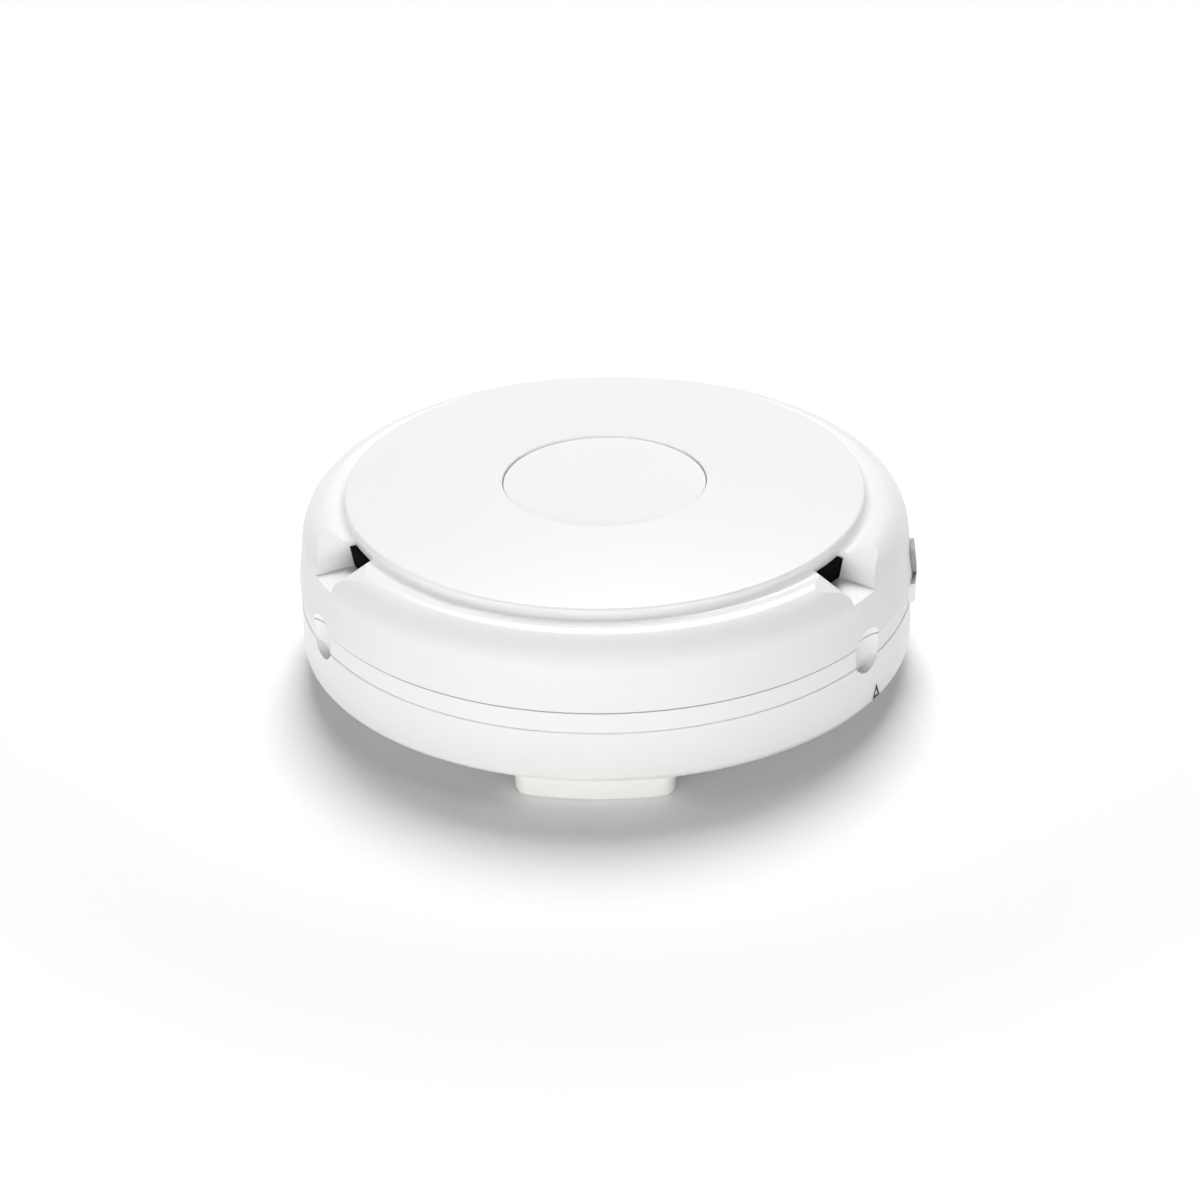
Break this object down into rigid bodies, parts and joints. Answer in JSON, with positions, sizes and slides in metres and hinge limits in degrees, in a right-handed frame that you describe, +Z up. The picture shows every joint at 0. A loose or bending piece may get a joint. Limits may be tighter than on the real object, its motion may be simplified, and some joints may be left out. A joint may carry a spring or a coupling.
{
  "type": "water leak detector",
  "caption": "Low round battery leak sensor standing on arc feet with sensing pins, with push button, sound inlets, probe port and twist-off base",
  "frame": {"origin": "On the puck's axis, at the height of the floor that the three feet stand on.", "axes": "+Z is up, along the puck's axis. The front foot points to -Y, and the probe port is on +X."},
  "size_m": [0.0825, 0.0819, 0.0258],
  "materials": {
    "shell_white": "fine satin moulded ABS, cool white",
    "button_white": "fine satin moulded ABS, white",
    "foot_ivory": "slightly darker, warmer white, matt",
    "port_rubber": "soft light grey elastomer",
    "seal_grey": "smooth silicone",
    "mesh_black": "black woven acoustic mesh",
    "gold_contact": "thin gold plating",
    "nickel_plate": "bright nickel-plated spring steel",
    "tinned_steel": "dull tinned sheet",
    "screw_steel": "zinc-plated",
    "board_green": "solder mask over glass laminate",
    "package_black": "moulded black resin",
    "plunger_black": "moulded black nylon",
    "lens_clear": "pale clear resin",
    "cell_jacket": "printed film sleeve over steel can"
  },
  "bodies": {
    "housing": {"top_cover": "shell_white", "chassis": "shell_white", "circuit_board": "board_green", "radio_module": "tinned_steel", "antenna": "tinned_steel", "status_led": "lens_clear", "microcontroller": "package_black", "switch_body": "package_black", "buzzer": "package_black", "battery_1": "cell_jacket", "battery_2": "cell_jacket", "battery_springs": "nickel_plate", "battery_plates": "nickel_plate", "probe_jack": "package_black", "contact_fingers": "gold_contact", "board_screws": "screw_steel", "cover_screws": "screw_steel", "sound_meshes": "mesh_black"},
    "button": {"test_button": "button_white"},
    "plunger": {"switch_plunger": "plunger_black"},
    "seal": {"seal_ring": "seal_grey"},
    "base": {"base_cover": "shell_white", "foot_front": "foot_ivory", "foot_right": "foot_ivory", "foot_left": "foot_ivory", "probe_pins": "gold_contact", "probe_ring_inner": "nickel_plate", "probe_ring_outer": "nickel_plate"},
    "port": {"port_cover": "port_rubber"}
  },
  "joints": [
    {"name": "button_press", "type": "slide", "parent": "housing", "child": "button", "axis": [0, 0, -1], "range_m": [0, 0.0005], "stiffness_N_per_m": 400, "springref_m": -0.001},
    {"name": "plunger_press", "type": "slide", "parent": "housing", "child": "plunger", "axis": [0, 0, -1], "range_m": [0, 0.0005]},
    {"name": "cover_twist", "type": "hinge", "parent": "housing", "child": "seal", "pos_m": [0, 0, 0.0097], "axis": [0, 0, -1], "range_deg": [0, 24]},
    {"name": "cover_drop", "type": "slide", "parent": "seal", "child": "base", "axis": [0, 0, -1], "range_m": [0, 0.0026]},
    {"name": "port_pull", "type": "slide", "parent": "housing", "child": "port", "axis": [1, 0, 0], "range_m": [0, 0.006]}
  ],
  "couplings": [
    {"joint": "plunger_press", "follows": "button_press", "ratio": 1},
    {"joint": "cover_drop", "follows": "cover_twist", "m_per_rad": 0.006207}
  ]
}
